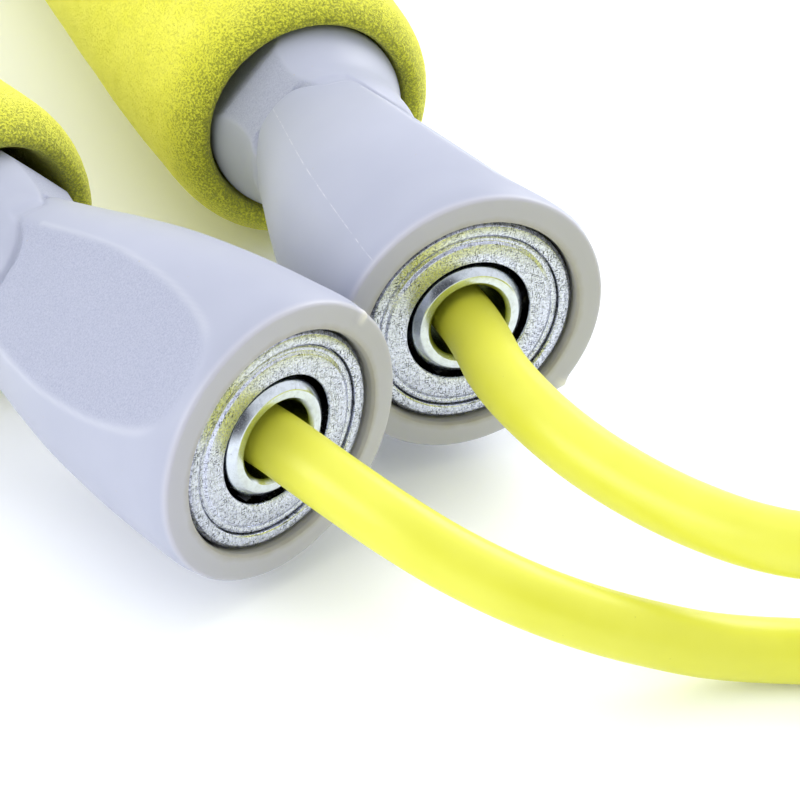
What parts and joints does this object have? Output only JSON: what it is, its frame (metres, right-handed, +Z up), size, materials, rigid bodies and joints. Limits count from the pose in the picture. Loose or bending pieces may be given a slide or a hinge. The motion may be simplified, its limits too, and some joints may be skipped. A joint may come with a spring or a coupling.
{
  "type": "jump rope",
  "caption": "Speed jump rope with two foam-grip handles that spin on ball bearings and a plastic cord, its spare length coiled and tied.",
  "frame": {"origin": "on the surface the handles lie on, under the middle of the two handles' box", "axes": "+Y along the handles from their mouths to their end caps, +Z up, +X to the right handle"},
  "size_m": [0.1739, 0.2783, 0.033],
  "materials": {
    "handle_plastic": "satin moulded lavender-grey polypropylene",
    "grip_foam": "open-pored bright yellow EVA foam",
    "shield_steel": "zinc-plated pressed steel, speckled",
    "polished_steel": "ground and polished bearing steel",
    "crimp_brass": "plain brass crimp",
    "cord_plastic": "satin yellow PVC",
    "strap_fabric": "woven hook-and-loop strap"
  },
  "bodies": {
    "rope": {"cord_run_left": "cord_plastic", "cord_run_right": "cord_plastic", "cord_coil": "cord_plastic", "coil_tie": "strap_fabric", "bearing_inner_ring_left": "polished_steel", "bearing_inner_ring_right": "polished_steel", "washer_left": "shield_steel", "washer_right": "shield_steel", "cord_stop_left": "crimp_brass", "cord_stop_right": "crimp_brass"},
    "handle_left": {"handle_core_left": "handle_plastic", "foam_grip_left": "grip_foam", "end_cap_left": "handle_plastic", "bearing_outer_ring_left": "shield_steel", "front_shield_left": "shield_steel", "rear_shield_left": "shield_steel"},
    "handle_right": {"handle_core_right": "handle_plastic", "foam_grip_right": "grip_foam", "end_cap_right": "handle_plastic", "bearing_outer_ring_right": "shield_steel", "front_shield_right": "shield_steel", "rear_shield_right": "shield_steel"},
    "ball_set_left": {"ball_cage_left": "shield_steel", "ball_1_left": "polished_steel", "ball_2_left": "polished_steel", "ball_3_left": "polished_steel", "ball_4_left": "polished_steel", "ball_5_left": "polished_steel", "ball_6_left": "polished_steel", "ball_7_left": "polished_steel"},
    "ball_set_right": {"ball_cage_right": "shield_steel", "ball_1_right": "polished_steel", "ball_2_right": "polished_steel", "ball_3_right": "polished_steel", "ball_4_right": "polished_steel", "ball_5_right": "polished_steel", "ball_6_right": "polished_steel", "ball_7_right": "polished_steel"}
  },
  "joints": [
    {"name": "left_handle_spin", "type": "hinge", "parent": "rope", "child": "handle_left", "pos_m": [-0.01392, -0.07571, 0.0165], "axis": [-0.1898, 0.9818, 0], "continuous": true},
    {"name": "right_handle_spin", "type": "hinge", "parent": "rope", "child": "handle_right", "pos_m": [0.01392, -0.06805, 0.0165], "axis": [0.1898, 0.9818, 0], "continuous": true},
    {"name": "left_ball_set_spin", "type": "hinge", "parent": "rope", "child": "ball_set_left", "pos_m": [-0.01392, -0.07571, 0.0165], "axis": [-0.1898, 0.9818, 0], "continuous": true},
    {"name": "right_ball_set_spin", "type": "hinge", "parent": "rope", "child": "ball_set_right", "pos_m": [0.01392, -0.06805, 0.0165], "axis": [0.1898, 0.9818, 0], "continuous": true}
  ],
  "couplings": [
    {"joint": "left_ball_set_spin", "follows": "left_handle_spin", "ratio": 0.6323},
    {"joint": "right_ball_set_spin", "follows": "right_handle_spin", "ratio": 0.6323}
  ]
}
